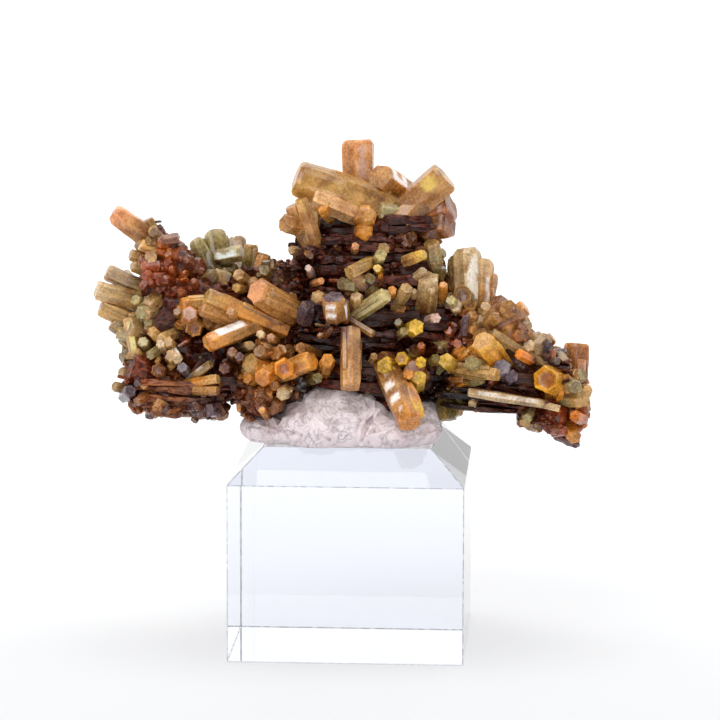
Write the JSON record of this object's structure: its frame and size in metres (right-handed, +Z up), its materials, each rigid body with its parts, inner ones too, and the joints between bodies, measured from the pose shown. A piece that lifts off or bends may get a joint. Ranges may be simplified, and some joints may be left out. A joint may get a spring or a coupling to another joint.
{
  "type": "pyromorphite with barite",
  "caption": "Tan and golden hexagonal pyromorphite prisms grown over dark red-brown bladed barite, seated in grey putty on a clear acrylic cube with bevelled top edges.",
  "frame": {"origin": "the centre of the block's underside, on the surface it stands on", "axes": "+Z up, +X to the specimen's right as seen from its front, -Y towards the front"},
  "size_m": [0.0546, 0.0284, 0.0548],
  "materials": {
    "acrylic": "clear, polished",
    "putty": "soft matt mounting putty with finger marks",
    "mineral": "glassy to resinous crystal faces on dark red-brown barite"
  },
  "bodies": {
    "root": {"acrylic_block": "acrylic", "putty": "putty", "mineral_specimen": "mineral"}
  },
  "joints": []
}
